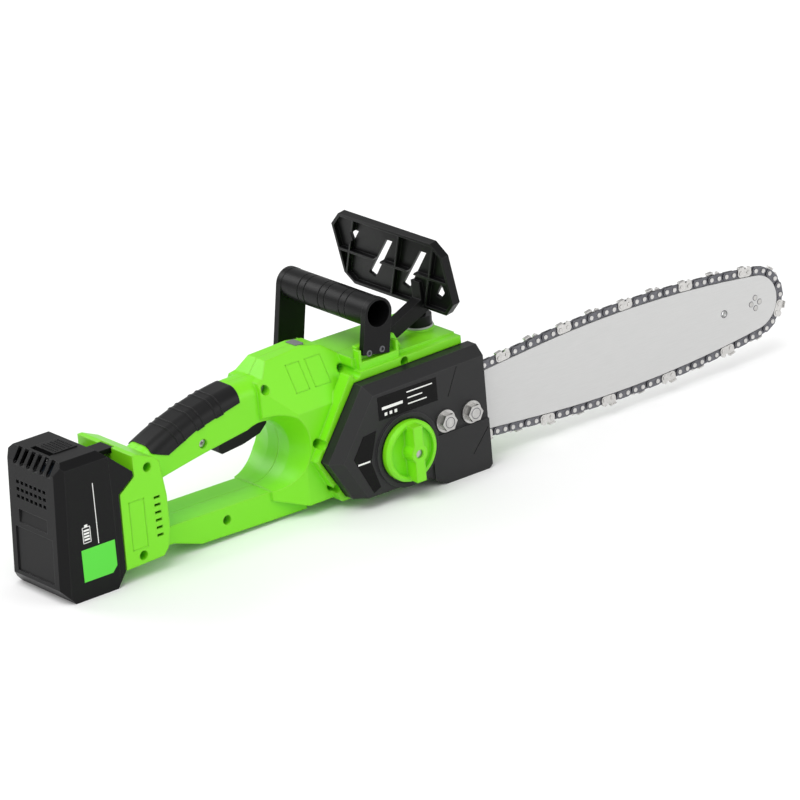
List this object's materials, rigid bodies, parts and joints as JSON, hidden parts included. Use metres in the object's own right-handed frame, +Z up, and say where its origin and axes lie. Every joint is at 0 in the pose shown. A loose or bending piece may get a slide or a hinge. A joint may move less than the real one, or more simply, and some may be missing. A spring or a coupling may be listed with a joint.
{
  "type": "cordless chainsaw",
  "caption": "Handheld battery chainsaw with a long guide bar and chain, rear D-handle with trigger, front handle with tall hand guard, side sprocket cover with clamp knob and nuts.",
  "frame": {"origin": "bottom centre of the whole saw's bounding box, on the floor it rests on", "axes": "+X forward along the guide bar to its tip, +Y to the operator's left, +Z up; the sprocket cover and bar are on the -Y side"},
  "size_m": [0.7356, 0.1588, 0.2003],
  "materials": {
    "green_shell": "lime green moulded nylon, soft gloss",
    "black_shell": "black moulded nylon, fine texture",
    "grey_cover": "dark grey moulded nylon, fine texture",
    "rubber_grip": "soft overmoulded rubber",
    "zinc_steel": "zinc plated steel",
    "plain_steel": "machined steel",
    "bar_steel": "light grey coated steel",
    "dark_steel": "blued chain steel",
    "cutter_steel": "chrome plated chain steel",
    "label_black": "gloss film",
    "label_green": "bright green film",
    "button_grey": "grey moulded plastic",
    "oil_tank_white": "translucent polyethylene",
    "seal_grey": "light grey seal",
    "magnet_dark": "rotor laminations and magnet",
    "copper_winding": "wound stator with copper wire",
    "board_green": "circuit board",
    "contact_brass": "plated contact blades",
    "cell_wrap": "shrink wrapped cells",
    "spring_steel": "spring wire"
  },
  "bodies": {
    "housing": {"housing_right": "green_shell", "housing_left": "green_shell", "rear_grip": "rubber_grip", "housing_screws": "zinc_steel", "front_handle": "black_shell", "handle_screws": "zinc_steel", "pivot_pins": "plain_steel", "clamp_plate": "plain_steel", "bar_studs": "zinc_steel", "bar_nuts": "zinc_steel", "sprocket_cover": "grey_cover", "cover_labels": "label_black", "output_bearing": "plain_steel", "gear_plate": "plain_steel", "motor_can": "plain_steel", "motor_stator": "copper_winding", "oil_tank": "oil_tank_white", "cap_seal": "seal_grey", "switch_module": "black_shell", "lock_off_switch": "black_shell", "controller_board": "board_green", "terminal_block": "black_shell", "terminal_blades": "contact_brass", "trigger_spring": "spring_steel", "lock_off_spring": "spring_steel"},
    "battery": {"battery_case_rear": "black_shell", "battery_case_front": "black_shell", "battery_contact_plate": "black_shell", "battery_cells": "cell_wrap", "battery_board": "board_green", "battery_label": "label_green", "release_spring": "spring_steel"},
    "battery_release": {"release_button": "black_shell"},
    "trigger": {"trigger": "black_shell"},
    "switch_plunger": {"switch_plunger": "black_shell"},
    "lock_off_button": {"lock_off_button": "button_grey"},
    "hand_guard": {"hand_guard": "black_shell"},
    "clamp_knob": {"clamp_knob": "green_shell", "knob_screw": "zinc_steel", "knob_cam": "plain_steel"},
    "drive": {"output_shaft": "plain_steel", "drive_gear": "plain_steel", "drive_sprocket": "plain_steel"},
    "rotor": {"motor_rotor": "magnet_dark", "motor_pinion": "plain_steel", "cooling_fan": "black_shell"},
    "nose_sprocket": {"nose_sprocket": "plain_steel"},
    "oil_cap": {"oil_cap": "black_shell", "plunger_spring": "spring_steel"},
    "oiler_plunger": {"oiler_plunger": "black_shell"},
    "bar": {"guide_bar": "bar_steel", "nose_bearing": "plain_steel", "nose_rivets": "zinc_steel", "chain_drive_links": "dark_steel", "chain_tie_straps": "dark_steel", "chain_cutters_left": "cutter_steel", "chain_cutters_right": "cutter_steel", "chain_rivets": "cutter_steel", "tension_block": "plain_steel"},
    "tension_screw": {"tension_screw": "zinc_steel"}
  },
  "joints": [
    {"name": "battery_slide", "type": "slide", "parent": "housing", "child": "battery", "axis": [0, 0, 1], "range_m": [0, 0.12]},
    {"name": "battery_release_slide", "type": "slide", "parent": "battery", "child": "battery_release", "axis": [-1, 0, 0], "range_m": [0, 0.004], "stiffness_N_per_m": 1500, "springref_m": -0.003, "deforming": ["release_spring"]},
    {"name": "trigger_hinge", "type": "hinge", "parent": "housing", "child": "trigger", "pos_m": [-0.14677, -0.0006, 0.088], "axis": [0, 1, 0], "range_deg": [0, 9], "stiffness_Nm_per_rad": 0.8, "springref_deg": -5.73, "deforming": ["trigger_spring"]},
    {"name": "switch_plunger_slide", "type": "slide", "parent": "housing", "child": "switch_plunger", "axis": [0, 0, 1], "range_m": [0, 0.005]},
    {"name": "lock_off_slide", "type": "slide", "parent": "housing", "child": "lock_off_button", "axis": [0, 0, -1], "range_m": [0, 0.0025], "stiffness_N_per_m": 1500, "springref_m": -0.002, "deforming": ["lock_off_spring"]},
    {"name": "guard_hinge", "type": "hinge", "parent": "housing", "child": "hand_guard", "pos_m": [-0.02977, -0.0188, 0.119], "axis": [0, 1, 0], "range_deg": [0, 7]},
    {"name": "clamp_knob_turn", "type": "hinge", "parent": "housing", "child": "clamp_knob", "pos_m": [-0.04677, -0.0626, 0.0405], "axis": [0, 1, 0], "continuous": true},
    {"name": "drive_spin", "type": "hinge", "parent": "housing", "child": "drive", "pos_m": [-0.07977, -0.0006, 0.053], "axis": [0, 1, 0], "continuous": true},
    {"name": "rotor_spin", "type": "hinge", "parent": "housing", "child": "rotor", "pos_m": [-0.05379, -0.0006, 0.068], "axis": [0, 1, 0], "continuous": true},
    {"name": "nose_spin", "type": "hinge", "parent": "bar", "child": "nose_sprocket", "pos_m": [0.33522, -0.0496, 0.053], "axis": [0, 1, 0], "continuous": true},
    {"name": "oil_cap_turn", "type": "hinge", "parent": "housing", "child": "oil_cap", "pos_m": [0.01723, -0.0056, 0.116], "axis": [0, 0, 1], "continuous": true},
    {"name": "oiler_press", "type": "slide", "parent": "oil_cap", "child": "oiler_plunger", "axis": [0, 0, -1], "range_m": [0, 0.005], "stiffness_N_per_m": 800, "springref_m": -0.002, "deforming": ["plunger_spring"]},
    {"name": "bar_slide", "type": "slide", "parent": "housing", "child": "bar", "axis": [1, 0, 0], "range_m": [-0.001, 0.001]},
    {"name": "tension_screw_turn", "type": "hinge", "parent": "housing", "child": "tension_screw", "pos_m": [0.01222, -0.0455, 0.0635], "axis": [1, 0, 0], "range_deg": [-361, 361]}
  ],
  "couplings": [
    {"joint": "switch_plunger_slide", "follows": "trigger_hinge", "m_per_rad": 0.031},
    {"joint": "rotor_spin", "follows": "drive_spin", "ratio": -4},
    {"joint": "nose_spin", "follows": "drive_spin", "ratio": 0.7},
    {"joint": "tension_screw_turn", "follows": "bar_slide", "rad_per_m": 6283.2}
  ]
}
